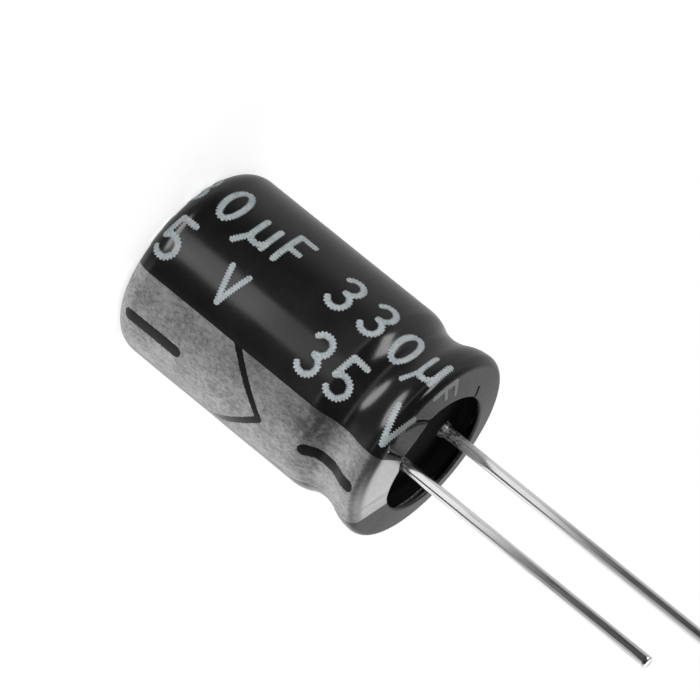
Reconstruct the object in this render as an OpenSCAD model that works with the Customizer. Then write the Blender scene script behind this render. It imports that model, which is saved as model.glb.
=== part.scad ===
// Radial electrolytic capacitor, 10 x 16 mm case, leads 5 mm apart.
// Origin at the centre of the closed end, +Z along the can towards the leads,
// anode lead on -X and cathode lead on +X. Millimetres.

/* [Sleeve] */
// Diameter of the sleeved body
sleeve_d = 10.3; // [9.8:0.1:11]
// Height of the body, closed end to the sleeve's edge round the leads
body_h = 16.05; // [14:0.05:22]
// Wall of the shrunk plastic sleeve
sleeve_wall = 0.12; // [0.08:0.01:0.16]
// Round of the body at the closed end
end_corner_r = 1.2; // [0.9:0.05:1.6]
// Width of the sleeve's fold over the closed end
end_fold_w = 1.75; // [1.5:0.05:2.2]
// Gap between the leads and the sleeve's edge round them
mouth_gap = 0.51; // [0.4:0.01:0.6]

/* [Crimp] */
// Depth of the crimped groove below the straight body
groove_depth = 0.42; // [0.2:0.02:0.5]
// Depth of the groove's bottom below the sleeve's edge
neck_drop = 2.85; // [2.6:0.05:3.2]
// Length of the slope from the straight body into the groove
shoulder_run = 1.7; // [1.4:0.1:2.2]
// How far the rim stands out past the straight body
rim_flare = 0.06; // [0:0.01:0.15]
// Depth of the rim's widest ring below the sleeve's edge
rim_drop = 0.85; // [0.7:0.05:1]
// Round of the rim's outer corner
rim_corner_r = 0.55; // [0.45:0.05:0.7]

/* [Can] */
// Wall of the aluminium can
can_wall = 0.25; // [0.2:0.01:0.32]
// Thickness of the can's closed end
can_end = 0.4; // [0.3:0.05:0.5]
// Outer radius of the curled edge
curl_r = 0.65; // [0.55:0.05:0.75]
// Width of the can's fold from the rim to the inside of the curled edge
can_fold_w = 1.46; // [1.4:0.02:1.6]
// How far the curled edge bites into the bung
curl_bite = 0.1; // [0.05:0.05:0.2]
// Length of each score line of the safety vent
vent_l = 5.2; // [4:0.1:6]
// Depth of the score lines
vent_depth = 0.14; // [0.08:0.02:0.2]

/* [Bung] */
// Thickness of the rubber bung
bung_h = 3.7; // [3.2:0.1:4.2]
// Depth of the bung's face below the sleeve's edge
bung_drop = 1.15; // [1.05:0.05:1.25]
// Height of the rubber collar that stands inside the curled edge
collar_h = 0.6; // [0.5:0.05:0.65]
// Width of the collar
collar_w = 0.25; // [0.2:0.05:0.3]
// Hollow round between the bung's face and the collar
collar_fillet_r = 0.35; // [0.25:0.05:0.4]
// Clearance round a lead's shank in the bung
shank_gap = 0.01; // [0.005:0.005:0.03]

/* [Leads] */
// Distance between the two leads
lead_pitch = 5; // [4.6:0.1:5.4]
// Diameter of the tinned wires
lead_d = 0.6; // [0.5:0.05:0.7]
// Length of the anode lead beyond the sleeve's edge
anode_l = 20; // [8:1:30]
// Length of the cathode lead beyond the sleeve's edge
cathode_l = 15; // [5:1:25]
// Bevel that the cut leaves on a lead's tip
lead_tip = 0.08; // [0.04:0.02:0.12]
// Diameter of a tab's round shank in the bung
shank_d = 1.1; // [0.9:0.05:1.2]
// Depth of the shank's welded end below the bung's face
weld_drop = 0.15; // [0.1:0.05:0.4]
// Height of the weld's cone
weld_h = 0.35; // [0.25:0.05:0.4]
// Largest diameter of the weld
weld_d = 0.9; // [0.8:0.05:0.9]
// Thickness of the tin's fillet at the weld, which runs out at the sleeve's edge
fillet_t = 0.03; // [0.02:0.01:0.05]
// Thickness of a tab's flattened paddle
paddle_t = 0.25; // [0.2:0.05:0.4]
// Width of the paddle
paddle_w = 1.7; // [1.4:0.1:2]
// Height of the slope between the shank and the paddle
paddle_slope = 0.6; // [0.4:0.1:0.8]

/* [Wound element] */
// Radial gap between the taped element and the can
winding_gap = 0.2; // [0.15:0.05:0.4]
// Gap between the element and the can's closed end
winding_floor_gap = 0.4; // [0.35:0.05:0.6]
// Gap between the element and the bung
winding_top_gap = 0.9; // [0.7:0.1:1.4]
// Diameter of the hole that the winding pin leaves
core_d = 1; // [0.6:0.1:1.6]
// Distance between the turns that show on the ends
turn_pitch = 0.4; // [0.3:0.05:0.6]
// Depth between those turns
turn_depth = 0.1; // [0.05:0.01:0.2]
// Thickness of the fixing tape
tape_t = 0.06; // [0.04:0.01:0.1]
// Distance of the tape from each end of the element
tape_margin = 0.7; // [0.4:0.1:1.5]
// Distance of a paddle's foot from the element's lower end
paddle_margin = 1; // [0.6:0.1:2]
// Clearance round a paddle in the element
paddle_gap = 0.02; // [0.01:0.01:0.05]

/* [Print] */
// Thickness of the ink
ink_t = 0.05; // [0.03:0.01:0.06]
// Distance at which the marking repeats along the sleeve
print_pitch = 11; // [10:0.1:12]
// Width of the polarity stripe round the sleeve, in degrees
stripe_sweep = 56.5; // [45:0.5:65]
// Turn of the stripe's middle from the cathode lead, in degrees
stripe_turn = 19.5; // [10:0.5:25]
// Start of the first minus bar above the closed end
bar_z = 0.78; // [0.6:0.02:1.2]
// Length of a minus bar
bar_l = 3.6; // [3:0.1:4]
// Width of a minus bar
bar_w = 0.55; // [0.4:0.05:0.8]
// Height of the arrow's point above the closed end
arrow_z = 9.4; // [8.5:0.1:10]
// Width of the arrow's line
arrow_w = 0.22; // [0.16:0.02:0.3]
// Height of the figures
figure_h = 2.4; // [2:0.1:2.6]
// Width of a figure
figure_w = 1.5; // [1.2:0.05:1.6]
// Width of the figures' line
figure_line = 0.23; // [0.18:0.01:0.28]
// Distance from one figure to the next
figure_step = 1.95; // [1.75:0.05:2.1]
// Distance from the first figure to the micro sign
micro_at = 5.55; // [5.4:0.05:5.8]
// Distance from the first figure to the farad's letter
farad_at = 7.45; // [7.2:0.05:7.8]
// Distance from the first figure to the volt's letter
volt_at = 5.45; // [4.5:0.05:6]
// Start of the capacitance row above the closed end
farad_z = 8.4; // [8:0.1:8.8]
// Turn of the capacitance row from the cathode lead, in degrees
farad_turn = -68; // [-74:1:-64]
// Start of the voltage row above the closed end
volt_z = 9.6; // [9.2:0.1:10]
// Turn of the voltage row from the cathode lead, in degrees
volt_turn = -30; // [-34:1:-28]

/* [Hidden] */
$fn = 96;

arc_step = 9;       // degrees between the points of an arc
ink_arc_step = 15;  // the same on the printed figures
cut_over = 1;       // how far a cutting shape runs past what it cuts
ink_start = -60;    // angle on the closed end's round at which the print begins
dot_fn = 24;        // segments of a line's round end
three_open = 150;   // angle at which a bowl of the figure 3 ends
five_join = 140;    // angle at which the bowl of the figure 5 begins
five_open = 215;    // angle at which it ends, counted the other way
five_share = 0.3;   // its radius as a share of the figure's height
micro_share = 0.3;  // radius of the micro sign's bowl as a share of its width
micro_h = 1.6;      // height of the micro sign above its line
micro_tail = 0.5;   // depth of its tail below the line
bar_share = 0.75;   // middle bar of the letter F as a share of its width

body_r = sleeve_d / 2;
neck_r = body_r - groove_depth;
rim_r = body_r + rim_flare;
end_hole_r = body_r - end_fold_w;
mouth_r = (lead_pitch + lead_d) / 2 + mouth_gap;
neck_z = body_h - neck_drop;
rim_z = body_h - rim_drop;
can_skin = sleeve_wall;                  // depth of the can's outer face
core_skin = sleeve_wall + can_wall;      // depth of the can's inner face
can_floor = sleeve_wall + can_end;
bung_top = body_h - bung_drop;
bung_foot = bung_top - bung_h;
weld_z = bung_top - weld_drop;

// The groove is two pairs of equal arcs that meet tangentially.
function turn_of(run, depth) = 2 * atan(depth / run);
lower_turn = turn_of(shoulder_run, body_r - neck_r);
lower_r = shoulder_run / sin(lower_turn) / 2;
upper_turn = turn_of(neck_drop - rim_drop, rim_r - neck_r);
upper_r = (neck_drop - rim_drop) / sin(upper_turn) / 2;

// The lead end's face is a straight line from the rim's corner to the mouth.
rim_corner = [rim_r - rim_corner_r, rim_z];
to_mouth = [mouth_r, body_h] - rim_corner;
face_turn = atan2(to_mouth.y, to_mouth.x) - acos(rim_corner_r / norm(to_mouth));
face_out = [cos(face_turn), sin(face_turn)];

// Middle of the curled edge, which lies against the face's inner side.
curl_in_r = rim_r - can_fold_w;
curl_depth = can_skin + curl_r;
curl_run = (curl_in_r + curl_r + curl_depth * face_out.x - mouth_r) / face_out.y;
curl_mid = [curl_in_r + curl_r, body_h - curl_depth * face_out.y - curl_run * face_out.x];
curl_foot = bung_top - curl_bite;

winding_r = body_r - core_skin - winding_gap - tape_t;
winding_foot = can_floor + winding_floor_gap;
winding_top = bung_foot - winding_top_gap;
turn_count = floor((winding_r - core_d / 2) / turn_pitch);
paddle_foot = winding_foot + paddle_margin;

// The letter on the lead end's face starts on the rim's corner and is as much smaller as its radius.
face_figure_r = rim_r - rim_corner_r / 2;
face_figure_h = figure_h * (face_figure_r + mouth_r) / 2 / body_r;

// Points of an arc about a middle, from one angle to another.
function arc(mid, r, from, to, step = arc_step) =
    let (steps = ceil(abs(to - from) / step))
    [for (i = [0 : steps])
        let (a = from + (to - from) * i / steps)
        mid + r * [cos(a), sin(a)]];

function reversed(points) = [for (i = [len(points) - 1 : -1 : 0]) points[i]];

// Outline of the body from its closed end's corner to its rim, at a depth below the surface.
function side_line(depth, start = -90) = concat(
    arc([body_r - end_corner_r, end_corner_r], end_corner_r - depth, start, 0),
    arc([body_r - lower_r, neck_z - shoulder_run], lower_r - depth, 0, lower_turn),
    arc([neck_r + lower_r, neck_z], lower_r + depth, 180 + lower_turn, 180),
    arc([neck_r + upper_r, neck_z], upper_r + depth, 180, 180 - upper_turn),
    arc([rim_r - upper_r, rim_z], upper_r - depth, -upper_turn, 0),
    arc(rim_corner, rim_corner_r - depth, 0, face_turn));

// The same outline run on to the mouth.
function skin_line(depth, start = -90) =
    concat(side_line(depth, start), [[mouth_r, body_h] - depth * face_out]);

// Band between two depths, from an angle on the end's corner to the mouth.
function band(outer, inner, start) = concat(skin_line(outer, start), reversed(skin_line(inner, start)));

// Inner side of the can above its straight wall, with the curl.
function inner_top_line() = concat(
    [for (p = side_line(core_skin)) if (p.y > bung_foot) p],
    arc(curl_mid, curl_r - can_wall, face_turn, 180),
    [[curl_in_r + can_wall, curl_foot], [curl_in_r, curl_foot]]);

module sleeve() {
    color("#242223")
        rotate_extrude()
            polygon(concat(
                [[end_hole_r, 0]], skin_line(0),
                reversed(skin_line(sleeve_wall)), [[end_hole_r, sleeve_wall]]));
}

// Deep-drawn cup, rolled into the bung and curled over it, with a scored cross on its end.
module can() {
    inner_corner_r = end_corner_r - core_skin;
    color("#c3c5c8")
        difference() {
            rotate_extrude()
                polygon(concat(
                    [[0, can_skin]], side_line(can_skin),
                    arc(curl_mid, curl_r, face_turn, 180),
                    reversed(inner_top_line()),
                    [[body_r - core_skin, bung_foot]],
                    arc([body_r - end_corner_r, can_floor + inner_corner_r], inner_corner_r, 0, -90),
                    [[0, can_floor]]));
            for (a = [0, 90])
                rotate([0, 0, a]) score_line();
        }
}

// V-shaped score line across the closed end.
module score_line() {
    side = vent_depth * sqrt(2);
    translate([-vent_l / 2, 0, can_skin])
        rotate([45, 0, 0])
            translate([0, -side / 2, -side / 2])
                cube([vent_l, side, side]);
}

// Bung that fills the rolled groove and the curl, with a collar and a hole for each shank.
module rubber_bung() {
    collar_mid_r = curl_in_r - collar_w / 2;
    collar_round_r = collar_w / 2;
    color("#17171a")
        difference() {
            rotate_extrude()
                polygon(concat(
                    [[0, bung_foot], [body_r - core_skin, bung_foot]], inner_top_line(),
                    arc([collar_mid_r, bung_top + collar_h - collar_round_r], collar_round_r, 0, 180),
                    arc([curl_in_r - collar_w - collar_fillet_r, bung_top + collar_fillet_r],
                        collar_fillet_r, 0, -90),
                    [[0, bung_top]]));
            for (side = [-1, 1])
                translate([side * lead_pitch / 2, 0, bung_foot - cut_over])
                    cylinder(d = shank_d + 2 * shank_gap, h = bung_h + 2 * cut_over);
        }
}

// Foils and papers wound into one roll, with the turns' edges on both ends.
module wound_element() {
    color("#b7a98b")
        difference() {
            translate([0, 0, winding_foot])
                difference() {
                    cylinder(r = winding_r, h = winding_top - winding_foot);
                    translate([0, 0, -cut_over])
                        cylinder(d = core_d, h = winding_top - winding_foot + 2 * cut_over);
                    turn_grooves();
                    translate([0, 0, winding_top - winding_foot])
                        mirror([0, 0, 1]) turn_grooves();
                }
            for (side = [-1, 1])
                translate([side * lead_pitch / 2, 0, paddle_foot - paddle_gap])
                    paddle_block(paddle_gap, winding_top - paddle_foot + cut_over);
        }
}

// Grooves between the turns, cut upwards from z = 0.
module turn_grooves() {
    rotate_extrude()
        for (i = [1 : turn_count - 1])
            translate([core_d / 2 + i * turn_pitch, 0])
                polygon([[-turn_depth / 2, -turn_depth], [turn_depth / 2, -turn_depth],
                         [turn_depth / 2, 0], [0, turn_depth], [-turn_depth / 2, 0]]);
}

// Tape round the element.
module fixing_tape() {
    color("#cdb87a")
        translate([0, 0, winding_foot + tape_margin])
            difference() {
                cylinder(r = winding_r + tape_t, h = winding_top - winding_foot - 2 * tape_margin);
                translate([0, 0, -cut_over])
                    cylinder(r = winding_r, h = winding_top - winding_foot + 2 * cut_over);
            }
}

// Block of a paddle's section, grown by a gap on every side.
module paddle_block(gap, height) {
    translate([-paddle_t / 2 - gap, -paddle_w / 2 - gap, 0])
        cube([paddle_t + 2 * gap, paddle_w + 2 * gap, height + gap]);
}

// Aluminium lead-out: a round shank through the bung, pressed flat inside the element.
module tab(side) {
    slope_z = winding_top;
    translate([side * lead_pitch / 2, 0, 0])
        color("#cfd1d4")
            union() {
                translate([0, 0, paddle_foot])
                    paddle_block(0, slope_z - paddle_foot);
                translate([0, 0, slope_z])
                    intersection() {
                        across(paddle_w) slope(paddle_t);
                        rotate([0, 0, 90]) across(shank_d) slope(paddle_w);
                    }
                translate([0, 0, slope_z + paddle_slope])
                    cylinder(d = shank_d, h = weld_z - slope_z - paddle_slope);
            }
}

// Outline that goes from a width at its foot to the shank's diameter.
module slope(foot_w) {
    polygon([[-foot_w / 2, 0], [foot_w / 2, 0],
             [shank_d / 2, paddle_slope], [-shank_d / 2, paddle_slope]]);
}

// Stands a flat outline up along X and gives it a thickness along Y.
module across(thickness) {
    rotate([90, 0, 0])
        translate([0, 0, -thickness / 2])
            linear_extrude(thickness) children();
}

module anode_tab() { tab(-1); }
module cathode_tab() { tab(1); }

// Tinned wire with the weld's cone and the tin's fillet at its foot, and a sheared tip.
module lead(side, length) {
    tip_z = body_h + length;
    fillet_z = weld_z + weld_h;
    fillet_d = lead_d + 2 * fillet_t;
    color("#dcdddf")
        translate([side * lead_pitch / 2, 0, 0])
            union() {
                translate([0, 0, weld_z])
                    cylinder(d1 = weld_d, d2 = fillet_d, h = weld_h);
                translate([0, 0, fillet_z])
                    cylinder(d1 = fillet_d, d2 = lead_d, h = body_h - fillet_z);
                translate([0, 0, body_h])
                    cylinder(d = lead_d, h = length - lead_tip);
                translate([0, 0, tip_z - lead_tip])
                    cylinder(d1 = lead_d, d2 = lead_d - 2 * lead_tip, h = lead_tip);
            }
}

module anode_lead() { lead(-1, anode_l); }
module cathode_lead() { lead(1, cathode_l); }

// Layer of ink over the sleeve, from the round of the closed end to the mouth.
module ink_layer(sweep = 360) {
    rotate_extrude(angle = sweep)
        polygon(band(-ink_t, 0, ink_start));
}

// Lays a flat drawing against the body's side: its X runs towards the leads.
module on_side(turn) {
    rotate([0, 0, turn])
        rotate([0, -90, 180])
            translate([0, 0, body_r / 2])
                linear_extrude(body_r) children();
}

// Lays a flat drawing on the lead end's face, its X running inwards from the rim's corner.
module on_face(turn) {
    rotate([0, 0, turn + 180])
        translate([-face_figure_r, 0, rim_z])
            linear_extrude(body_h) children();
}

// Polarity stripe with its minus bars and arrow left bare.
module polarity_stripe() {
    color("#9b9b9e")
        difference() {
            rotate([0, 0, stripe_turn - stripe_sweep / 2]) ink_layer(stripe_sweep);
            on_side(stripe_turn) {
                for (z = [bar_z, bar_z + print_pitch])
                    line([z + bar_w / 2, 0], [z + bar_l - bar_w / 2, 0], bar_w);
                for (way = [-1, 1])
                    line([arrow_z, 0], [arrow_z - body_r, way * body_r], arrow_w);
            }
        }
}

// Rating in plain figures, twice along the sleeve, with its last letter on the lead end's face.
module rating_print() {
    color("#c5d0d6")
        intersection() {
            ink_layer();
            union() {
                for (start = [farad_z - print_pitch, farad_z])
                    on_side(farad_turn)
                        translate([start, -figure_h / 2]) {
                            figure_three();
                            translate([figure_step, 0]) figure_three();
                            translate([2 * figure_step, 0]) figure_zero();
                            translate([micro_at, 0]) letter_micro();
                        }
                on_side(farad_turn)
                    translate([farad_z - print_pitch + farad_at, -figure_h / 2])
                        letter_farad(figure_h);
                on_face(farad_turn)
                    translate([0, -face_figure_h / 2])
                        letter_farad(face_figure_h);
                for (start = [volt_z - print_pitch, volt_z])
                    on_side(volt_turn)
                        translate([start, -figure_h / 2]) {
                            figure_three();
                            translate([figure_step, 0]) figure_five();
                        }
                on_side(volt_turn)
                    translate([volt_z - print_pitch + volt_at, -figure_h / 2])
                        letter_volt();
            }
        }
}

// Straight line of ink with round ends.
module line(from, to, width) {
    run = to - from;
    translate(from) {
        circle(d = width);
        rotate([0, 0, atan2(run.y, run.x)])
            translate([0, -width / 2])
                square([norm(run), width]);
    }
    translate(to) circle(d = width);
}

// Curved line of ink with round ends, anticlockwise from one angle to another.
module curve(mid, r, from, to, width) {
    polygon(concat(
        arc(mid, r + width / 2, from, to, ink_arc_step),
        reversed(arc(mid, r - width / 2, from, to, ink_arc_step))));
    for (a = [from, to])
        translate(mid + r * [cos(a), sin(a)])
            circle(d = width, $fn = dot_fn);
}

module figure_three() {
    bowl_r = (figure_h - figure_line) / 4;
    mid_x = figure_w / 2 - figure_line / 2;
    curve([mid_x, figure_h - figure_line / 2 - bowl_r], bowl_r, -90, three_open, figure_line);
    curve([mid_x, figure_line / 2 + bowl_r], bowl_r, -three_open, 90, figure_line);
}

module figure_zero() {
    bowl_r = (figure_w - figure_line) / 2;
    low = figure_line / 2 + bowl_r;
    high = figure_h - low;
    curve([figure_w / 2, high], bowl_r, 0, 180, figure_line);
    curve([figure_w / 2, low], bowl_r, 180, 360, figure_line);
    for (x = [figure_line / 2, figure_w - figure_line / 2])
        line([x, low], [x, high], figure_line);
}

module figure_five() {
    bowl_r = figure_h * five_share - figure_line / 2;
    left = figure_line;
    top = figure_h - figure_line / 2;
    mid = [figure_w / 2 - figure_line / 2, figure_line / 2 + bowl_r];
    line([left, top], [figure_w - figure_line, top], figure_line);
    line([left, top], mid + bowl_r * [cos(five_join), sin(five_join)], figure_line);
    curve(mid, bowl_r, five_open - 360, five_join, figure_line);
}

module letter_micro() {
    bowl_r = figure_w * micro_share;
    mid = [figure_w / 2, figure_line / 2 + bowl_r];
    line([mid.x - bowl_r, -micro_tail], [mid.x - bowl_r, micro_h], figure_line);
    line([mid.x + bowl_r, figure_line / 2], [mid.x + bowl_r, micro_h], figure_line);
    curve(mid, bowl_r, 180, 360, figure_line);
}

module letter_farad(height) {
    top = height - figure_line / 2;
    line([figure_line, figure_line / 2], [figure_line, top], figure_line);
    line([figure_line, top], [figure_w - figure_line, top], figure_line);
    line([figure_line, height / 2], [figure_w * bar_share, height / 2], figure_line);
}

module letter_volt() {
    foot = [figure_w / 2, figure_line / 2];
    for (x = [figure_line / 2, figure_w - figure_line / 2])
        line(foot, [x, figure_h - figure_line / 2], figure_line);
}

sleeve();
can();
rubber_bung();
wound_element();
fixing_tape();
anode_tab();
cathode_tab();
anode_lead();
cathode_lead();
polarity_stripe();
rating_print();
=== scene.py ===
import bisect
import math

import bmesh
import bpy
from mathutils import Matrix, Vector


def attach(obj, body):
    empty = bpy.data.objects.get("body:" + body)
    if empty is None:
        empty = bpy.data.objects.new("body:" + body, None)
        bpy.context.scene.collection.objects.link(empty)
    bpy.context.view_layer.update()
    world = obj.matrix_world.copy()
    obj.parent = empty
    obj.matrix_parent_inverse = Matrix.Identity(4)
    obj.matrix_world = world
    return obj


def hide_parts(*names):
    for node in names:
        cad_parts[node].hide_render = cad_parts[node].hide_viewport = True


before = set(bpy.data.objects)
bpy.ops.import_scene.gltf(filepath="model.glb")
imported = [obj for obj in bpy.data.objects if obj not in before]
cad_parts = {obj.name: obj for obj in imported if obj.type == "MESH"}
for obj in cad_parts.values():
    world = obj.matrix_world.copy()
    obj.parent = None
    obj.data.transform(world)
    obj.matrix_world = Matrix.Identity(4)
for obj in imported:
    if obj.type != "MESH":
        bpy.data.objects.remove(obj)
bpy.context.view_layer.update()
scene = bpy.context.scene
scene.view_settings.view_transform = "Standard"
mm = 0.001

# Camera at the photograph's viewing angle, rolled because the part lies obliquely in the picture.
# Angles are in degrees and lengths in millimetres, apart from the clipping range.
view = {"side": -29, "rise": 19.5, "roll": 39, "distance": 290, "width": 32.93,
        "height": 7.98, "across": 1.976, "up": 0.094, "sensor": 36, "clip": (0.001, 10)}
upright = Vector((0, 0, 1))


def makeCamera():
    side, rise, roll = (math.radians(view[name]) for name in ("side", "rise", "roll"))
    ahead = Vector((math.cos(side), math.sin(side), 0))
    toCamera = math.cos(rise) * ahead + math.sin(rise) * upright
    along = (upright - math.sin(rise) * toCamera).normalized()
    aside = toCamera.cross(along)
    right = math.cos(roll) * along + math.sin(roll) * aside
    up = math.cos(roll) * aside - math.sin(roll) * along
    target = view["height"] * upright + view["across"] * right + view["up"] * up
    camera = bpy.data.objects.new("camera", bpy.data.cameras.new("camera"))
    camera.data.sensor_width = view["sensor"]
    camera.data.lens = view["sensor"] * view["distance"] / view["width"]
    camera.data.clip_start, camera.data.clip_end = view["clip"]
    camera.matrix_world = (Matrix.Translation((target + view["distance"] * toCamera) * mm)
                           @ Matrix((right, up, toCamera)).transposed().to_4x4())
    scene.collection.objects.link(camera)
    scene.camera = camera
    return ahead, aside


ahead, aside = makeCamera()
print("camera stands at the photograph's angle")


# A Value is a socket that can be added, multiplied and so on
class Value:
    def __init__(self, graph, socket):
        self.graph, self.socket = graph, socket

    def maths(self, operation, first, second=0.0):
        return self.graph.node("ShaderNodeMath", {"operation": operation}, {0: first, 1: second})

    def __add__(self, other):
        return self.maths("ADD", self, other)

    def __sub__(self, other):
        return self.maths("SUBTRACT", self, other)

    def __rsub__(self, other):
        return self.maths("SUBTRACT", other, self)

    def __mul__(self, other):
        return self.maths("MULTIPLY", self, other)

    def __pow__(self, other):
        return self.maths("POWER", self, other)

    def __abs__(self):
        return self.maths("ABSOLUTE", self)

    def atLeast(self, other):
        return self.maths("MAXIMUM", self, other)

    def atMost(self, other):
        return self.maths("MINIMUM", self, other)

    __radd__ = __add__
    __rmul__ = __mul__


class Graph:
    def __init__(self, tree):
        self.tree = tree
        tree.nodes.clear()

    def node(self, kind, settings, sockets, out=0):
        made = self.tree.nodes.new(kind)
        for name, setting in settings.items():
            setattr(made, name, setting)
        for key, given in sockets.items():
            if isinstance(given, Value):
                self.tree.links.new(given.socket, made.inputs[key])
            else:
                made.inputs[key].default_value = given
        if isinstance(out, tuple):
            return [Value(self, made.outputs[key]) for key in out]
        return Value(self, made.outputs[out]) if made.outputs else None

    def place(self):
        return self.node("ShaderNodeTexCoord", {}, {}, "Object")

    def stretched(self, vector, scale, rotation=(0, 0, 0)):
        return self.node("ShaderNodeMapping", {}, {"Vector": vector, "Scale": scale, "Rotation": rotation})

    def height(self, vector):
        return self.node("ShaderNodeSeparateXYZ", {}, {"Vector": vector}, "Z")

    def dot(self, vector, other):
        return self.node("ShaderNodeVectorMath", {"operation": "DOT_PRODUCT"}, {0: vector, 1: other}, "Value")

    def noise(self, vector, scale, detail=3.0, roughness=0.55, distortion=0.0):
        return self.node("ShaderNodeTexNoise", {"noise_dimensions": "3D"}, {
            "Vector": vector, "Scale": scale, "Detail": detail, "Roughness": roughness,
            "Distortion": distortion})

    def ramp(self, value, low, high, start=0.0, end=1.0):
        return self.node("ShaderNodeMapRange", {"interpolation_type": "SMOOTHSTEP"}, {
            "Value": value, "From Min": low, "From Max": high, "To Min": start, "To Max": end})

    def mix(self, share, first, second):
        return self.node("ShaderNodeMix", {"data_type": "RGBA"}, {0: share, 6: first, 7: second}, 2)

    def bump(self, height, distance):
        return self.node("ShaderNodeBump", {}, {"Height": height, "Distance": distance})

    def surface(self, sockets):
        shader = self.node("ShaderNodeBsdfPrincipled", {}, sockets)
        self.node("ShaderNodeOutputMaterial", {}, {"Surface": shader})


def newFinish(name):
    material = bpy.data.materials.new(name)
    material.use_nodes = True
    return material, Graph(material.node_tree)


# Outline of the sleeved body, in millimetres, by the same arcs as the solids
body = {"radius": 5.15, "height": 16.05, "endRound": 1.2, "endFold": 1.75, "groove": 0.42,
        "neckDrop": 2.85, "shoulder": 1.7, "flare": 0.06, "rimDrop": 0.85, "rimRound": 0.55,
        "mouth": 3.31, "arcStep": 2, "innerReach": 0.5, "closest": 1e-6}


def makeOutline():
    neckR, neckZ = body["radius"] - body["groove"], body["height"] - body["neckDrop"]
    rimR, rimZ = body["radius"] + body["flare"], body["height"] - body["rimDrop"]
    cornerR = rimR - body["rimRound"]
    lower = 2 * math.degrees(math.atan(body["groove"] / body["shoulder"]))
    upper = 2 * math.degrees(math.atan((rimR - neckR) / (rimZ - neckZ)))
    lowerR = body["shoulder"] / math.sin(math.radians(lower)) / 2
    upperR = (rimZ - neckZ) / math.sin(math.radians(upper)) / 2
    toMouth = Vector((body["mouth"] - cornerR, body["height"] - rimZ))
    face = math.degrees(math.atan2(toMouth.y, toMouth.x) - math.acos(body["rimRound"] / toMouth.length))
    points = [(body["radius"] - body["endFold"], 0, -90)]
    for r, z, radius, start, end in [
            (body["radius"] - body["endRound"], body["endRound"], body["endRound"], -90, 0),
            (body["radius"] - lowerR, neckZ - body["shoulder"], lowerR, 0, lower),
            (neckR + lowerR, neckZ, lowerR, 180 + lower, 180),
            (neckR + upperR, neckZ, upperR, 180, 180 - upper),
            (rimR - upperR, rimZ, upperR, -upper, 0),
            (cornerR, rimZ, body["rimRound"], 0, face)]:
        steps = math.ceil(abs(end - start) / body["arcStep"])
        for i in range(steps + 1):
            angle = start + (end - start) * i / steps
            point = (r + radius * math.cos(math.radians(angle)),
                     z + radius * math.sin(math.radians(angle)),
                     angle if abs(angle) <= 90 else angle - 180)  # the way the skin faces
            if math.dist(point[:2], points[-1][:2]) > body["closest"]:
                points.append(point)
    for inward in (0, body["innerReach"]):
        points.append((body["mouth"] - inward,
                       body["height"] + inward / math.tan(math.radians(face)), face))
    runs = [0.0]
    for last, point in zip(points, points[1:]):
        runs.append(runs[-1] + math.dist(last[:2], point[:2]))
    barrel = next(i for i, point in enumerate(points) if point[2] == 0)
    shift = body["endRound"] - runs[barrel]  # on the barrel the run is the height
    return points, [run + shift for run in runs]


outline, runs = makeOutline()
mouthRun = runs[-2]


def skinAt(run):
    i = min(max(bisect.bisect(runs, run), 1), len(runs) - 1)
    share = (run - runs[i - 1]) / (runs[i] - runs[i - 1])
    return [low + (high - low) * share for low, high in zip(outline[i - 1], outline[i])]


# The shrunk film: its edge round the mouth as (turn, radius), and its folds as two (turn, distance
# before the mouth) ends with a width and a depth. The spacings are (start, gap) pairs. A wave is
# (size, waves round, slant, start, waves along, start along).
film = {"wall": 0.12, "edgeRound": 0.13, "edgeTurn": 100, "edgeRows": 6, "ripple": 0.007, "rippleTop": 11,
        "waves": [(1, 3, 0.9, 0, 0.55, 1.3), (0.6, 8, -0.5, 2, 0.8, 0)],
        "faceStart": 16.1, "millimetresPerDegree": 0.075, "mapSpan": 20, "weld": 0.001,
        "turns": [(-180, 2.5), (-114, 0.8), (-100, 2), (-62, 0.7), (-2, 0.9), (54, 1.8), (180, 0)],
        "rows": [(1.3, 0.4), (11.3, 0.12), (15.3, 0.07), (16.1, 0.045)], "cornerGap": 0.13,
        "mouth": [(-180, 3.31), (-140, 3.33), (-108.5, 3.42), (-107.5, 3.56), (-106, 3.44), (-95, 3.46),
                  (-72, 3.6), (-57, 3.69), (-47.5, 3.70), (-39, 3.51), (-29, 3.40), (-19, 3.39), (-10, 3.46),
                  (3, 3.17), (20, 3.27), (36, 3.36), (80, 3.31), (140, 3.33), (180, 3.31)],
        "folds": [((-49, 0.0), (-38.5, 1.0), 0.07, 0.17), ((-38.5, 1.0), (-31, 1.35), 0.11, 0.04),
                  ((-11, 0.1), (-13.5, 1.3), 0.08, 0.14), ((-13.5, 1.3), (-21, 1.7), 0.13, 0.05),
                  ((-107.5, 0.0), (-106.5, 0.55), 0.06, 0.12), ((60, 0.2), (66, 1.5), 0.15, 0.03),
                  ((28, 0.1), (33, 1.4), 0.12, 0.025), ((150, 0.2), (147, 1.4), 0.12, 0.04),
                  ((46, 7.0), (38, 3.4), 0.14, 0.05), ((38, 3.4), (36, 1.6), 0.12, 0.03)],
        "foldDepth": 0.12}


def mouthEdge(turn):
    turn = (turn + 180) % 360 - 180
    for (turnA, radiusA), (turnB, radiusB) in zip(film["mouth"], film["mouth"][1:]):
        if turn <= turnB:
            radius = radiusA + (radiusB - radiusA) * (turn - turnA) / (turnB - turnA)
            break
    slope = math.dist(outline[-1][:2], outline[-2][:2]) / (outline[-2][0] - outline[-1][0])
    return mouthRun - (radius - body["mouth"]) * slope


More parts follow.
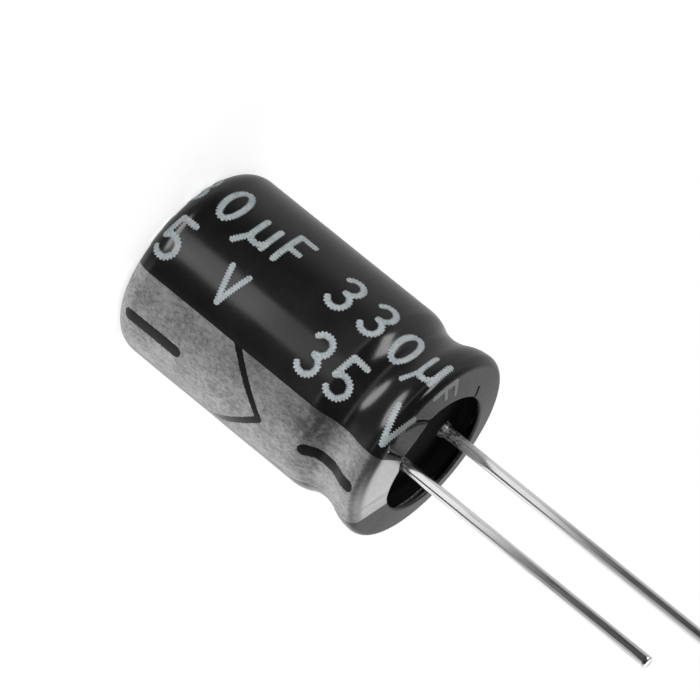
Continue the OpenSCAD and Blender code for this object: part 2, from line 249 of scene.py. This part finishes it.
def dent(turn, run):
    width = film["millimetresPerDegree"]
    point = Vector((((turn + 180) % 360 - 180) * width, run))
    depth = 0
    for (turnA, beforeA), (turnB, beforeB), spreadOut, deep in film["folds"]:
        start = Vector((turnA * width, mouthRun - beforeA))
        line = Vector((turnB * width, mouthRun - beforeB)) - start
        share = min(max((point - start).dot(line) / line.length_squared, 0), 1)
        depth += deep * math.exp(-((point - start - share * line).length / spreadOut) ** 2)
    return depth


def ripple(turn, run):
    angle = math.radians(turn)
    waves = sum(size * math.sin(around * angle + slant * run + start) * math.sin(along * run + startAlong)
                for size, around, slant, start, along, startAlong in film["waves"])
    return film["ripple"] * waves * min(max(min(run, film["rippleTop"] - run), 0), 1)


# A point on the film, by its turn round the axis and its run from the closed end
def onFilm(turn, run, lift=0.0):
    edge = mouthEdge(turn)
    r, z, tilt = skinAt(min(run, edge))
    normal = Vector((math.cos(math.radians(tilt)), math.sin(math.radians(tilt))))
    point = Vector((r, z)) + (ripple(turn, run) - dent(turn, run)) * normal
    if run > edge:
        bend = (run - edge) / film["edgeRound"]
        inward = Vector((-normal.y, normal.x))
        point += film["edgeRound"] * (math.sin(bend) * inward - (1 - math.cos(bend)) * normal)
        normal = math.cos(bend) * normal + math.sin(bend) * inward
    point += lift * normal
    angle = math.radians(turn)
    return Vector((point.x * math.cos(angle), point.x * math.sin(angle), point.y)) * mm


# Values from (start, gap) pairs, evenly spaced within each
def spread(stops):
    values = []
    for (start, gap), (end, _) in zip(stops, stops[1:]):
        count = max(1, round((end - start) / gap))
        values += [start + (end - start) * i / count for i in range(count)]
    return values + [stops[-1][0]]


def filmRows(start):
    length = film["edgeRound"] * math.radians(film["edgeTurn"])
    rounded = [mouthRun + length * i / film["edgeRows"] for i in range(1, film["edgeRows"] + 1)]
    return spread([(start, film["cornerGap"])] + film["rows"] + [(mouthRun, 0)]) + rounded


# On the face the rows are stretched to the film's own edge
def filmRun(turn, run):
    if run <= film["faceStart"]:
        return run
    edge = mouthEdge(turn)
    if run <= mouthRun:
        share = (run - film["faceStart"]) / (mouthRun - film["faceStart"])
        return film["faceStart"] + share * (edge - film["faceStart"])
    return edge + run - mouthRun


def addPiece(name, bm, finish, node, solid=0.0):
    mesh = bpy.data.meshes.new(name)
    for edge in bm.edges:
        edge.smooth = not edge.is_boundary  # the rim of a sheet stays crisp
    bm.to_mesh(mesh)
    bm.free()
    for polygon in mesh.polygons:
        polygon.use_smooth = True
    piece = bpy.data.objects.new(name, mesh)
    scene.collection.objects.link(piece)
    mesh.materials.append(finish)
    if solid:
        wall = piece.modifiers.new("wall", "SOLIDIFY")
        wall.thickness, wall.offset = solid * mm, -1
    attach(piece, "root")
    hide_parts(node)
    print(name, "has", len(mesh.polygons), "faces")


def faceOutwards(bm):
    bm.normal_update()
    largest = max(bm.faces, key=lambda face: face.calc_area())
    middle = largest.calc_center_median()
    if largest.normal.dot(Vector((middle.x, middle.y, 0))) < 0:
        bmesh.ops.reverse_faces(bm, faces=bm.faces[:])


# A sheet that follows the film. Its UV map holds the run and the way round, over the map's span.
def wrappedSheet(turns, rows, lift, closed=False, narrowing=None):
    bm = bmesh.new()
    filmMap = bm.loops.layers.uv.new("film")
    folded = bm.verts.layers.float.new("fold")
    bmesh.ops.create_grid(bm, x_segments=len(turns) - 1, y_segments=len(rows) - 1, size=1)
    places = {}
    for vert in bm.verts:
        turn = turns[round((vert.co.x + 1) / 2 * (len(turns) - 1))]
        row = rows[round((vert.co.y + 1) / 2 * (len(rows) - 1))]
        turn = narrowing(turn, row) if narrowing else turn
        places[vert] = (turn, filmRun(turn, row))
    for face in bm.faces:
        for loop in face.loops:
            turn, run = places[loop.vert]
            loop[filmMap].uv = (run / film["mapSpan"], math.radians(turn) * body["radius"] / film["mapSpan"])
    for vert, (turn, run) in places.items():
        vert.co = onFilm(turn, run, lift)
        vert[folded] = min(dent(turn, run) / film["foldDepth"], 1)
    if closed:
        bmesh.ops.remove_doubles(bm, verts=bm.verts[:], dist=film["weld"] * mm)
    faceOutwards(bm)
    return bm


# Finishes read the object's own place, in metres, or the film's map. A scale counts a noise's features
# in a metre, or in a millimetre of the map. A pair is where a ramp starts and ends.
shrink = {"flowScale": 5200, "cloudScale": 620, "grainScale": 12000, "peelScale": 2600, "chafeScale": 8000,
          "speck": (0.62, 0.76), "tone": (0.3, 0.7), "chafe": (0.4, 0.66), "fold": (0.3, 0.75),
          "lip": (0.0155, 0.0158), "roughness": 0.12, "lipRoughness": 0.18, "bump": 0.9e-6,
          "dark": (0.010, 0.0098, 0.0102, 1), "light": (0.015, 0.0145, 0.015, 1),
          "chafed": (0.05, 0.05, 0.05, 1)}


def shrinkFilm():
    material, graph = newFinish("shrinkFilm")
    place = graph.place()
    flow = graph.noise(graph.stretched(place, (1, 1, 0.12)), shrink["flowScale"], 4, 0.6)
    cloud = graph.noise(place, shrink["cloudScale"], 3)
    grain = graph.noise(place, shrink["grainScale"], 2)
    speck = graph.ramp(grain, *shrink["speck"])
    peel = graph.noise(place, shrink["peelScale"], 2)
    fold = graph.node("ShaderNodeAttribute", {"attribute_name": "fold"}, {}, "Fac")
    onLip = graph.ramp(graph.height(place), *shrink["lip"])
    gloss = shrink["roughness"] + 0.06 * cloud + 0.05 * flow + 0.12 * speck + shrink["lipRoughness"] * onLip
    black = graph.mix(graph.ramp(cloud, *shrink["tone"]), shrink["dark"], shrink["light"])
    chafed = onLip * graph.ramp(graph.noise(place, shrink["chafeScale"], 3, 0.7), *shrink["chafe"])
    graph.surface({
        "Base Color": graph.mix(chafed, black, shrink["chafed"]),
        "Roughness": gloss.atLeast(graph.ramp(fold, *shrink["fold"])),  # a crease is dull
        "Normal": graph.bump(flow * 0.35 + peel * 0.65 + onLip * grain * 2, shrink["bump"])})
    return material


addPiece("sleeveSkin", wrappedSheet(spread(film["turns"]), filmRows(runs[0]), 0.0, True),
         shrinkFilm(), "sleeve", film["wall"])

# Polarity stripe with its minus bars and arrow left bare. The second bar drifts aside with the film.
stripe = {"turn": 19.5, "sweep": 56.5, "narrow": (12.6, 14.8), "narrowBy": 0.08,
          "lift": 0.012, "ink": 0.009, "start": -0.057, "columns": 70,
          "barAt": 0.78, "bar": 3.6, "barWidth": 0.68, "pitch": 11,
          "drift": (11.0, 13.0), "driftBy": (0.08, 0.37),
          "arrowAt": 9.4, "arrowWidth": 0.36, "soft": 0.02, "ragged": 0.12,
          "wispScale": 3.4, "wispTurn": 24, "grainScale": 9, "cloudScale": 0.6, "smudgeScale": 1.9,
          "tone": (0.32, 0.66), "lip": (15.0, 16.4), "lipTone": 0.56, "lipEvens": 0.75,
          "blotchAt": 11.9, "blotchRun": (1.1, 0.2), "blotchSide": (0.4, -1.6),
          "blotch": (0.66, 0.36, 0.0, 0.22),
          # The rim values place a band of painted shade round the rim corner, and the darker ink colour is
          # that painted shade.
          "rimAt": 15.85, "rim": (0.5, 0.1), "rimShadeDepth": 0.6, "metallic": 0.82, "specular": 0.3, "bump": 5e-6,
          "dark": (0.22, 0.22, 0.223, 1), "light": (0.62, 0.62, 0.625, 1), "shadedInk": (0.10, 0.10, 0.10, 1),
          "bare": (0.004, 0.004, 0.004, 1)}


def barGap(run, side, start):
    half = (stripe["bar"] - stripe["barWidth"]) / 2
    over = (abs(run - (start + stripe["bar"] / 2)) - half).atLeast(0.0)
    return (over * over + side * side) ** 0.5 - stripe["barWidth"] / 2


def arrowGap(run, side):
    before, off = run - stripe["arrowAt"], abs(side)
    across = (before + off) * math.sqrt(0.5)
    past = ((off - before) * math.sqrt(0.5)).atMost(0.0)
    return (across * across + past * past) ** 0.5 - stripe["arrowWidth"] / 2


def printedSilver():
    material, graph = newFinish("printedSilver")
    filmMap = graph.node("ShaderNodeUVMap", {"uv_map": "film"}, {})
    scaled = graph.stretched(filmMap, (film["mapSpan"], film["mapSpan"], film["mapSpan"]))
    run, around = graph.node("ShaderNodeSeparateXYZ", {}, {"Vector": scaled}, ("X", "Y"))
    side = around - math.radians(stripe["turn"]) * body["radius"]
    drifted = side + graph.ramp(run, *stripe["drift"], *stripe["driftBy"])
    gap = barGap(run, side, stripe["barAt"]).atMost(arrowGap(run, side))
    gap = gap.atMost(barGap(run, drifted, stripe["barAt"] + stripe["pitch"]))
    slanted = graph.stretched(scaled, (1, 1.5, 1), (0, 0, math.radians(stripe["wispTurn"])))
    wisp = graph.noise(slanted, stripe["wispScale"], 3, 0.6, 0.5)
    grain = graph.noise(scaled, stripe["grainScale"], 2, 0.6)
    bare = graph.ramp(gap + stripe["ragged"] * (grain - 0.5), stripe["soft"], -stripe["soft"])
    cloud = graph.noise(scaled, stripe["cloudScale"], 2)
    onLip = graph.ramp(run, *stripe["lip"])
    smudge = graph.ramp(graph.noise(scaled, stripe["smudgeScale"], 2, 0.6), *stripe["blotch"])
    blotched = graph.ramp(abs(run - stripe["blotchAt"]), *stripe["blotchRun"])
    blotched = blotched * graph.ramp(side, *stripe["blotchSide"])
    mottle = wisp * 0.45 + grain * 0.25 + cloud * 0.3 - blotched * smudge
    tone = graph.ramp(mottle + (stripe["lipTone"] - mottle) * (stripe["lipEvens"] * onLip), *stripe["tone"])
    # Painted shade: the ink is darkened in a band round the rim corner, where the film turns onto the lip.
    rimShade = graph.ramp(abs(run - stripe["rimAt"]), *stripe["rim"], 0.0, stripe["rimShadeDepth"])
    ink = graph.mix(rimShade, graph.mix(tone, stripe["dark"], stripe["light"]), stripe["shadedInk"])
    graph.surface({
        "Base Color": graph.mix(bare, ink, stripe["bare"]),
        "Metallic": stripe["metallic"] - stripe["metallic"] * bare,
        "Roughness": 0.34 - 0.2 * bare + 0.1 * grain - 0.06 * onLip,
        "Specular IOR Level": stripe["specular"],
        "Normal": graph.bump((wisp * 0.4 + grain * 0.4) * (1 - 0.8 * onLip) - bare * 0.8, stripe["bump"])})
    return material


# Its far edge comes nearer where the film is drawn in over the rim
def narrowed(turn, run):
    low, high = stripe["narrow"]
    share = min(max((run - low) / (high - low), 0), 1)
    start = stripe["turn"] - stripe["sweep"] / 2
    return start + (turn - start) * (1 - stripe["narrowBy"] * share * share * (3 - 2 * share))


def stripeSheet():
    start = stripe["turn"] - stripe["sweep"] / 2
    turns = [start + stripe["sweep"] * i / stripe["columns"] for i in range(stripe["columns"] + 1)]
    return wrappedSheet(turns, filmRows(stripe["start"]), stripe["lift"], narrowing=narrowed)


addPiece("polarityStripe", stripeSheet(), printedSilver(), "polarity_stripe", stripe["ink"])

# Figures: strokes drawn from a foot at the left, then set as (name, run, turn, scale). Each stroke
# lies a step higher than the last, over a few levels, so that strokes that cross stay apart.
figures = {"height": 2.4, "width": 1.4, "oval": 1.26, "line": 0.3, "lift": 0.022, "ink": 0.016, "gap": 0.035,
           "tooth": 0.33, "toothStep": 0.15, "cutBefore": -1.15, "cutWithin": 1e-5, "weld": 1e-4,
           "arcStep": 12, "rows": 4, "step": 0.0007, "levels": 7,
           "threeOpen": 150, "fiveBowl": 0.3, "fiveJoin": 140, "fiveOpen": -145,
           # From about 15.5 mm upward the print fades to its darker colour on the lip: painted shade.
           "dotScale": 9000, "cloudScale": 1500, "tone": (0.36, 0.6), "lipShade": (0.0155, 0.0161),
           "lipShadeDrift": 0.0006, "bump": 2e-6,
           "dark": (0.52, 0.60, 0.63, 1), "light": (0.78, 0.84, 0.86, 1), "shadedInk": (0.40, 0.42, 0.43, 1),
           "marks": [("three", -0.65, -68, 1), ("zero", 1.42, -68, 1), ("micro", 3.4, -68, 1),
                     ("farad", 5.22, -68, 1), ("three", 8.5, -68, 1), ("three", 10.55, -68, 1),
                     ("zero", 12.42, -68, 1), ("micro", 14.2, -68, 1), ("farad", 16.05, -64, 0.82),
                     ("three", -1.4, -31, 1), ("five", 0.48, -31.5, 1), ("volt", 4.1, -29.7, 0.86),
                     ("three", 9.6, -30.5, 1), ("five", 11.45, -30.5, 1), ("volt", 14.9, -27, 0.9)]}


def bow(x, y, radius, start, end):
    count = math.ceil(abs(end - start) / figures["arcStep"])
    angles = [math.radians(start + (end - start) * i / count) for i in range(count + 1)]
    return [(x + radius * math.cos(angle), y + radius * math.sin(angle)) for angle in angles]


def makeStrokes():
    half, tall, wide = figures["line"] / 2, figures["height"], figures["width"]
    bowl = (tall - figures["line"]) / 4
    five = tall * figures["fiveBowl"] - half
    fiveX, fiveY = wide / 2 - half, half + five
    toJoin = math.radians(figures["fiveJoin"])
    join = (fiveX + five * math.cos(toJoin), fiveY + five * math.sin(toJoin))
    oval = [(figures["oval"] / 2 + (figures["oval"] / 2 - half) * x, tall / 2 + (tall / 2 - half) * y)
            for x, y in bow(0, 0, 1, 90, 450)]
    return {
        "three": [bow(wide / 2 - half, tall - half - bowl, bowl, figures["threeOpen"], -90),
                  bow(wide / 2 - half, half + bowl, bowl, 90, -figures["threeOpen"])],
        "zero": [oval],
        "five": [[(wide - 2 * half, tall - half), (2 * half, tall - half)], [(2 * half, tall - half), join],
                 bow(fiveX, fiveY, five, figures["fiveJoin"], figures["fiveOpen"])],
        "micro": [[(0.35, 1.6), (0.32, 0.35), (-0.12, -0.38)], [(1.2, 1.6), (1.2, 0.16)],
                  [(0.32, 0.5), (0.45, 0.24), (0.75, 0.17), (1.02, 0.26), (1.2, 0.5)]],
        "farad": [[(half, half), (half, tall - half)], [(half, tall - half), (1.0, tall - half)],
                  [(half, tall / 2), (0.85, tall / 2)]],
        "volt": [[(half, tall - half), (0.76, half)], [(0.76, half), (1.52 - half, tall - half)]]}


def drawStroke(bm, points, x, y, scale, lift):
    points = [Vector((x + px * scale, y + py * scale)) for px, py in points]
    lengths = [0.0]
    for last, point in zip(points, points[1:]):
        lengths.append(lengths[-1] + (point - last).length)
    half = figures["line"] / 2 * math.sqrt(scale)
    segments = math.ceil((lengths[-1] + 2 * half) / figures["gap"])
    made = bmesh.ops.create_grid(bm, x_segments=segments, y_segments=figures["rows"], size=1)
    for vert in made["verts"]:
        along = (vert.co.x + 1) / 2 * (lengths[-1] + 2 * half) - half
        over = max(-along, along - lengths[-1], 0)
        width = math.sqrt(max(half * half - over * over, 0))
        width *= 1 + figures["tooth"] * math.sin(2 * math.pi * along / figures["toothStep"])  # dotted print
        i = min(max(bisect.bisect(lengths, along), 1), len(lengths) - 1)
        tangent = (points[i] - points[i - 1]).normalized()
        centre = points[i - 1] + (along - lengths[i - 1]) * tangent
        across = vert.co.y * width
        vert.co = (centre.x - across * tangent.y, centre.y + across * tangent.x, lift)


def makeFigures():
    bm = bmesh.new()
    strokes = makeStrokes()
    count = 0
    for name, start, turn, scale in figures["marks"]:
        side = -math.radians(turn) * body["radius"] - scale * figures["height"] / 2
        for points in strokes[name]:
            lift = figures["lift"] + figures["step"] * (count % figures["levels"])
            drawStroke(bm, points, start, side, scale, lift)
            count += 1
    bmesh.ops.bisect_plane(bm, geom=bm.verts[:] + bm.edges[:] + bm.faces[:], dist=figures["cutWithin"],
                           plane_co=(figures["cutBefore"], 0, 0), plane_no=(-1, 0, 0), clear_outer=True)
    bmesh.ops.remove_doubles(bm, verts=bm.verts[:], dist=figures["weld"])
    for vert in bm.verts:
        vert.co = onFilm(-math.degrees(vert.co.y / body["radius"]), vert.co.x, vert.co.z)
    faceOutwards(bm)
    return bm


def printedPale():
    material, graph = newFinish("printedPale")
    place = graph.place()
    dots = graph.noise(place, figures["dotScale"], 2, 0.6)
    cloud = graph.noise(place, figures["cloudScale"], 2)
    tone = graph.ramp(dots * 0.6 + cloud * 0.4, *figures["tone"])
    # Painted shade: the print is darkened on the lip, as if the lip were turned away from the light.
    lipShade = graph.ramp(graph.height(place) + figures["lipShadeDrift"] * cloud, *figures["lipShade"])
    graph.surface({
        "Base Color": graph.mix(lipShade, graph.mix(tone, figures["dark"], figures["light"]), figures["shadedInk"]),
        "Roughness": 0.5 + 0.15 * dots, "Normal": graph.bump(dots, figures["bump"])})
    return material


addPiece("ratingFigures", makeFigures(), printedPale(), "rating_print", figures["ink"])

# Leads: tinned wire with its solder foot, and a tip sheared by the cutters. A wire is dull up to a
# height above its foot. The profiles are (height, radius), and the ramps are heights in metres.
lead = {"pitch": 5, "radius": 0.3, "segments": 40, "rings": 12, "shear": 0.12, "shearBelow": 0.1,
        "weld": 1e-5,
        "anode": {"side": -1, "length": 20, "dullTo": 0.0176},
        "cathode": {"side": 1, "length": 15, "dullTo": 0.0160},
        "drawnScale": 8500, "cloudScale": 1400, "speckScale": 8000,
        "streak": (0.3, 0.44), "speck": (0.42, 0.58),
        "solder": (0.0171, 0.0161), "solderDrift": 0.0008, "dullFade": 0.0005, "bump": 1.6e-6,
        "bright": (0.95, 0.95, 0.95, 1), "line": (0.5, 0.5, 0.505, 1),
        "footBright": (0.66, 0.66, 0.66, 1), "footDark": (0.10, 0.10, 0.10, 1),
        "foot": [(14.75, 0.0), (14.75, 0.44), (14.86, 0.44), (14.95, 0.425), (15.03, 0.385), (15.1, 0.345),
                 (15.2, 0.322), (15.4, 0.311), (15.7, 0.304), (16.05, 0.3)],
        "tip": [(-0.3, 0.3), (-0.08, 0.3), (-0.04, 0.285), (-0.015, 0.26), (0, 0.22), (0, 0)]}


def tinnedWire(name, dullTo):
    material, graph = newFinish(name)
    place = graph.place()
    drawn = graph.noise(graph.stretched(place, (1, 1, 0.03)), lead["drawnScale"], 2, 0.5)
    cloud = graph.noise(graph.stretched(place, (1, 1, 0.3)), lead["cloudScale"], 3)
    speck = graph.noise(graph.stretched(place, (1, 1, 0.6)), lead["speckScale"], 3, 0.7)
    speck = graph.ramp(speck, *lead["speck"])
    height = graph.height(place)
    foot = graph.ramp(height + lead["solderDrift"] * cloud, *lead["solder"])
    dull = graph.ramp(height, dullTo + lead["dullFade"], dullTo - lead["dullFade"])
    wire = graph.mix(graph.ramp(drawn, *lead["streak"]), lead["line"], lead["bright"])
    graph.surface({
        "Base Color": graph.mix(foot, wire, graph.mix(speck, lead["footDark"], lead["footBright"])),
        "Metallic": 1 - 0.5 * dull,
        "Roughness": (0.1 + 0.08 * cloud).atLeast(0.42 * foot).atLeast(0.38 * dull),
        "Normal": graph.bump(drawn * 0.75 + cloud * 0.25, lead["bump"])})
    return material


def spun(profile, steps):
    bm = bmesh.new()
    points = [bm.verts.new((r, 0, z)) for z, r in profile]
    edges = [bm.edges.new(pair) for pair in zip(points, points[1:])]
    bmesh.ops.spin(bm, geom=points + edges, axis=upright, cent=(0, 0, 0), angle=math.tau,
                   steps=steps, use_merge=True)
    bmesh.ops.remove_doubles(bm, verts=bm.verts[:], dist=lead["weld"])
    return bm


def makeLead(name, side, length, dullTo):
    tip = body["height"] + length
    foot, last = lead["foot"], tip + lead["tip"][0][0]
    middle = [(foot[-1][0] + (last - foot[-1][0]) * i / lead["rings"], lead["radius"])
              for i in range(1, lead["rings"])]
    bm = spun(foot + middle + [(tip + drop, r) for drop, r in lead["tip"]], lead["segments"])
    for vert in bm.verts:
        if vert.co.z > tip - lead["shearBelow"]:
            vert.co.z -= lead["shear"] * (vert.co.x * side + lead["radius"])
        vert.co = (vert.co + Vector((side * lead["pitch"] / 2, 0, 0))) * mm
    bmesh.ops.recalc_face_normals(bm, faces=bm.faces[:])
    finish = tinnedWire("tinned" + name.capitalize(), dullTo)
    addPiece(name + "Wire", bm, finish, name + "_lead")


for name in ("anode", "cathode"):
    makeLead(name, **lead[name])

# The CAD nodes keep their own shapes. A roughness is its least value and what the noise adds.
rubber = {"grainScale": 7000, "cloudScale": 900, "roughness": (0.7, 0.2), "specular": 0.12, "bump": 4e-6,
          "dark": (0.005, 0.005, 0.0052, 1), "light": (0.011, 0.011, 0.0112, 1)}
cup = {"stretch": (1, 1, 0.1), "fineScale": 6000, "cloudScale": 500, "roughness": (0.24, 0.16), "bump": 2e-6,
       "dark": (0.70, 0.71, 0.72, 1), "light": (0.82, 0.83, 0.84, 1)}
paper = {"stretch": (1, 1, 0.3), "fibreScale": 6000, "stainScale": 400, "tone": (0.35, 0.65),
         "roughness": (0.7, 0.2), "bump": 8e-6,
         "dark": (0.42, 0.36, 0.25, 1), "light": (0.58, 0.51, 0.38, 1)}
tape = {"stretch": (1, 1, 3), "weaveScale": 3000, "roughness": (0.28, 0.14), "bump": 3e-6,
        "dark": (0.52, 0.40, 0.17, 1), "light": (0.66, 0.53, 0.27, 1)}
foil = {"stretch": (1, 1, 0.25), "pressScale": 5000, "roughness": (0.3, 0.2), "bump": 4e-6,
        "dark": (0.66, 0.67, 0.68, 1), "light": (0.80, 0.81, 0.82, 1)}


# What each of these finishes has: two tones, a roughness and a bump, by a coarse and a fine noise
def solidSurface(graph, values, coarse, fine, others):
    least, more = values["roughness"]
    graph.surface({"Base Color": graph.mix(coarse, values["dark"], values["light"]),
                   "Roughness": least + more * fine, "Normal": graph.bump(fine, values["bump"]), **others})


def sealRubber():
    material, graph = newFinish("sealRubber")
    place = graph.place()
    grain = graph.noise(place, rubber["grainScale"], 3, 0.65)
    cloud = graph.noise(place, rubber["cloudScale"], 2)
    solidSurface(graph, rubber, cloud, grain, {"Specular IOR Level": rubber["specular"]})
    return material


def drawnAluminium():
    material, graph = newFinish("drawnAluminium")
    place = graph.place()
    fine = graph.noise(graph.stretched(place, cup["stretch"]), cup["fineScale"], 3)
    cloud = graph.noise(place, cup["cloudScale"], 3)
    solidSurface(graph, cup, cloud, fine, {"Metallic": 1.0})
    return material


def windingPaper():
    material, graph = newFinish("windingPaper")
    place = graph.place()
    fibre = graph.noise(graph.stretched(place, paper["stretch"]), paper["fibreScale"], 4, 0.7)
    stain = graph.noise(place, paper["stainScale"], 3)
    solidSurface(graph, paper, graph.ramp(fibre * 0.5 + stain * 0.5, *paper["tone"]), fibre, {})
    return material


def tapeFilm():
    material, graph = newFinish("tapeFilm")
    weave = graph.noise(graph.stretched(graph.place(), tape["stretch"]), tape["weaveScale"], 3)
    solidSurface(graph, tape, weave, weave, {})
    return material


def foilAluminium():
    material, graph = newFinish("foilAluminium")
    press = graph.noise(graph.stretched(graph.place(), foil["stretch"]), foil["pressScale"], 3)
    solidSurface(graph, foil, press, press, {"Metallic": 1.0})
    return material


for nodes, finish in [(["can"], drawnAluminium()), (["rubber_bung"], sealRubber()),
                      (["wound_element"], windingPaper()), (["fixing_tape"], tapeFilm()),
                      (["anode_tab", "cathode_tab"], foilAluminium())]:
    for node in nodes:
        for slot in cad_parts[node].material_slots:
            slot.material = finish
print("solids have their finishes")

# Floor, room, card and lamps, with lengths in millimetres. After the floor's values, a single value is
# how bright a part of the room is, and a pair is where it fades in, as a share of ahead, aside or
# upright. Only sideTurn is a share too: how far the room's front turns round to one side. A lamp faces
# the axis at a height, and its azimuth counts from the camera's side.
room = {"floor": 400, "floorDrop": 0.05, "floorSides": 96, "floorLight": 0.75,
        "horizon": 0.58, "overhead": 0.06, "ceiling": (0.85, 0.4),
        "box": 1.2, "boxFoot": (0.28, 0.66), "boxHead": (0.82, 0.70), "boxSide": (0.4, 0.12),
        "sideTurn": 0.35, "turnAside": (0.6, 0.9), "backWall": (0.3, -0.3),
        "front": 0.05, "low": 0.5, "lowFront": (-0.15, 0.5), "stripeSide": 0.43, "stripeWall": (-0.48, -0.7),
        "farSide": 0.45, "farWall": (0.3, -0.5), "farAside": (-0.1, -0.3),
        "frontBelow": 0.2, "below": 0.85, "belowAside": (-0.25, -0.6), "ground": (-0.4, -0.7),
        "skyline": (-0.22, 0.0)}
card = {"radius": 80, "bottom": -13, "top": -2.5, "steps": 24,
        "black": {"start": 7, "sweep": 28, "radiance": 0.0},
        "white": {"start": 35, "sweep": 116, "radiance": 0.9},
        "grey": {"start": 151, "sweep": 124, "radiance": 0.62},
        "bright": {"start": 275, "sweep": 92, "radiance": 0.95}}
lamps = {"band": {"at": 4.6, "azimuth": 4.5, "elevation": -19.5, "distance": 80, "size": (36, 10),
                  "radiance": 2.0, "roll": 0, "shape": "RECTANGLE", "glossy": True, "diffuse": True},
         "crescent": {"at": 13.5, "azimuth": 11, "elevation": -38, "distance": 200, "size": (150, 62),
                      "radiance": 5.0, "roll": 18, "shape": "ELLIPSE", "glossy": True, "diffuse": False},
         "patch": {"at": 12.3, "azimuth": 60, "elevation": 22, "distance": 150, "size": (95, 42),
                   "radiance": 6.5, "roll": 55, "shape": "RECTANGLE", "glossy": True, "diffuse": False},
         "fill": {"at": 8, "azimuth": 0, "elevation": 21, "distance": 170, "size": (120, 120),
                  "radiance": 2.2, "roll": 0, "shape": "RECTANGLE", "glossy": False, "diffuse": True}}


def stageMesh(name, bm, finish):
    mesh = bpy.data.meshes.new(name)
    bm.to_mesh(mesh)
    bm.free()
    mesh.materials.append(finish)
    stand = bpy.data.objects.new(name, mesh)
    scene.collection.objects.link(stand)
    stand.visible_shadow = False
    return stand


def makeFloor():
    bm = bmesh.new()
    bmesh.ops.create_circle(bm, cap_ends=True, segments=room["floorSides"], radius=room["floor"] * mm)
    material, graph = newFinish("paleFloor")
    camera = graph.node("ShaderNodeLightPath", {}, {}, "Is Camera Ray")
    shown = (room["floorLight"],) * 3 + (1,)
    graph.surface({"Base Color": (0.8, 0.8, 0.8, 1), "Roughness": 0.9, "Specular IOR Level": 0.0,
                   "Emission Color": graph.mix(camera, (0, 0, 0, 1), shown), "Emission Strength": 1.0})
    floor = stageMesh("floor", bm, material)
    floor.location.z = -room["floorDrop"] * mm
    floor.visible_glossy = False  # gloss sees the room below instead


# One piece of the low card round the part. The leads reflect it, and its black piece is their dark line.
def makeCard(name, start, sweep, radiance):
    bm = bmesh.new()
    ends = [bm.verts.new((card["radius"] * mm, 0, card[end] * mm)) for end in ("bottom", "top")]
    edge = bm.edges.new(ends)
    bmesh.ops.rotate(bm, verts=ends, cent=(0, 0, 0), matrix=Matrix.Rotation(math.radians(start), 3, "Z"))
    bmesh.ops.spin(bm, geom=ends + [edge], axis=upright, cent=(0, 0, 0), angle=math.radians(sweep),
                   steps=card["steps"])
    material, graph = newFinish(name)
    graph.surface({"Base Color": (0, 0, 0, 1), "Specular IOR Level": 0.0,
                   "Emission Color": (1, 1, 1, 1), "Emission Strength": radiance})
    made = stageMesh(name, bm, material)
    made.visible_camera = False
    made.visible_diffuse = False


def makeRoom():
    world = bpy.data.worlds.new("room")
    scene.world = world
    world.use_nodes = True
    graph = Graph(world.node_tree)
    look = graph.node("ShaderNodeTexCoord", {}, {}, "Generated")
    forward, sideways, upward = (graph.dot(look, axis) for axis in (ahead, aside, upright))
    box = room["box"] * graph.ramp(upward, *room["boxFoot"]) * graph.ramp(upward, *room["boxHead"])
    box = box * graph.ramp(sideways, *room["boxSide"])
    back = graph.ramp(upward, *room["ceiling"], room["overhead"], room["horizon"]) + box
    facing = forward - graph.ramp(sideways, *room["turnAside"], 0.0, room["sideTurn"])
    high = room["front"] + (back - room["front"]) * graph.ramp(facing, *room["backWall"])
    low = graph.ramp(forward, *room["lowFront"], room["low"], room["front"])
    low = low.atLeast(graph.ramp(sideways, *room["stripeWall"], 0.0, room["stripeSide"]))
    far = graph.ramp(forward, *room["farWall"], 0.0, room["farSide"])
    low = low + far * graph.ramp(sideways, *room["farAside"])
    below = graph.ramp(sideways, *room["belowAside"], room["frontBelow"], room["below"])
    low = low.atLeast(graph.ramp(upward, *room["ground"]) * below)
    radiance = low + (high - low) * graph.ramp(upward, *room["skyline"])
    camera = graph.node("ShaderNodeLightPath", {}, {}, "Is Camera Ray")
    shade = graph.node("ShaderNodeBackground", {}, {
        "Color": (1, 1, 1, 1), "Strength": camera + (1 - camera) * radiance})
    graph.node("ShaderNodeOutputWorld", {}, {"Surface": shade})


def addLamp(name, at, azimuth, elevation, distance, size, radiance, roll, shape, glossy, diffuse):
    azimuth, elevation = math.radians(azimuth), math.radians(elevation)
    toLamp = (math.cos(elevation) * (math.cos(azimuth) * ahead + math.sin(azimuth) * aside)
              + math.sin(elevation) * upright)
    wide, tall = size
    data = bpy.data.lights.new(name, "AREA")
    data.shape = shape
    data.size, data.size_y = wide * mm, tall * mm
    data.energy = radiance * math.pi * wide * tall * mm * mm
    lamp = bpy.data.objects.new(name + "Lamp", data)
    scene.collection.objects.link(lamp)
    lamp.matrix_world = (Matrix.Translation((at * upright + distance * toLamp) * mm)
                         @ toLamp.to_track_quat("Z", "Y").to_matrix().to_4x4()
                         @ Matrix.Rotation(math.radians(roll), 4, "Z"))
    lamp.visible_camera = False
    lamp.visible_glossy = glossy
    lamp.visible_diffuse = diffuse


makeFloor()
for name in ("black", "white", "grey", "bright"):
    makeCard(name + "Card", **card[name])
makeRoom()
for name, lamp in lamps.items():
    addLamp(name, **lamp)
print("floor, card, room and lamps are set")
